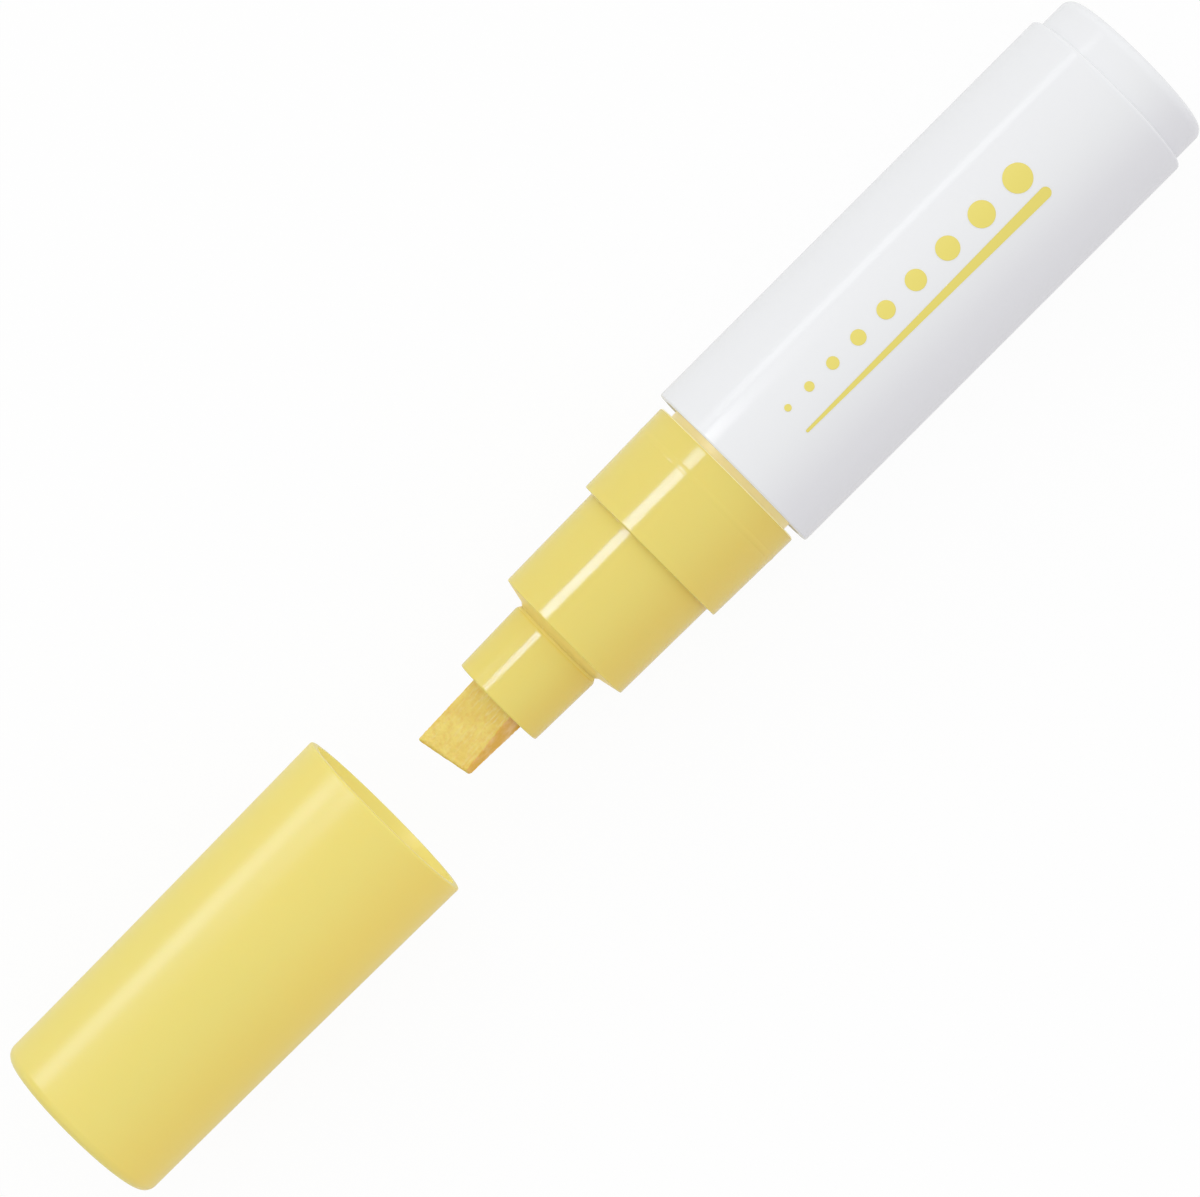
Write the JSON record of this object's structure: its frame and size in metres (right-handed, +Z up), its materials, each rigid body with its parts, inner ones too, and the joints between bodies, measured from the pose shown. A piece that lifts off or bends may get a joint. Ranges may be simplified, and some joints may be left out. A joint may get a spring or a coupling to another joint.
{
  "type": "paint marker",
  "caption": "Broad chisel-nib paint marker with a white barrel, a stepped yellow front, a press-to-open valve, loose mixing balls and a pull-off cap lying in line with it.",
  "frame": {"origin": "bottom centre of the whole object as it lies on its side, with the cap laid in line in front of the nib", "axes": "+X along the marker towards the nib and the cap, +Z up, +Y across to the left of someone looking along +X"},
  "size_m": [0.1812, 0.0252, 0.0252],
  "materials": {
    "white_plastic": "smooth, glossy, opaque white",
    "yellow_plastic": "smooth, glossy, opaque pastel yellow",
    "natural_plastic": "uncoloured, slightly translucent",
    "nib_fibre": "porous pressed fibre, soaked with yellow paint",
    "packing_rubber": "matt black",
    "spring_steel": "drawn wire",
    "ball_steel": "polished steel"
  },
  "bodies": {
    "pen": {"barrel": "white_plastic", "tail_plug": "white_plastic", "front_section": "yellow_plastic", "nib_holder": "yellow_plastic", "valve_housing": "natural_plastic", "valve_packing": "packing_rubber", "valve_spring": "spring_steel"},
    "nib_unit": {"nib": "nib_fibre", "valve_stem": "natural_plastic"},
    "ball_1": {"mixing_ball_1": "ball_steel"},
    "ball_2": {"mixing_ball_2": "ball_steel"},
    "cap": {"cap_shell": "yellow_plastic", "inner_cap": "natural_plastic"}
  },
  "joints": [
    {"name": "nib_press", "type": "slide", "parent": "pen", "child": "nib_unit", "axis": [-1, 0, 0], "range_m": [0, 0.0018], "stiffness_N_per_m": 1000, "springref_m": -0.0008, "deforming": ["valve_spring"]},
    {"name": "cap_pull", "type": "slide", "parent": "pen", "child": "cap", "axis": [-1, 0, 0], "range_m": [0, 0.05885]},
    {"name": "ball_1_roll", "type": "slide", "parent": "pen", "child": "ball_1", "axis": [1, 0, 0], "range_m": [0, 0.0381]},
    {"name": "ball_2_roll", "type": "slide", "parent": "pen", "child": "ball_2", "axis": [1, 0, 0], "range_m": [0, 0.0381]}
  ]
}
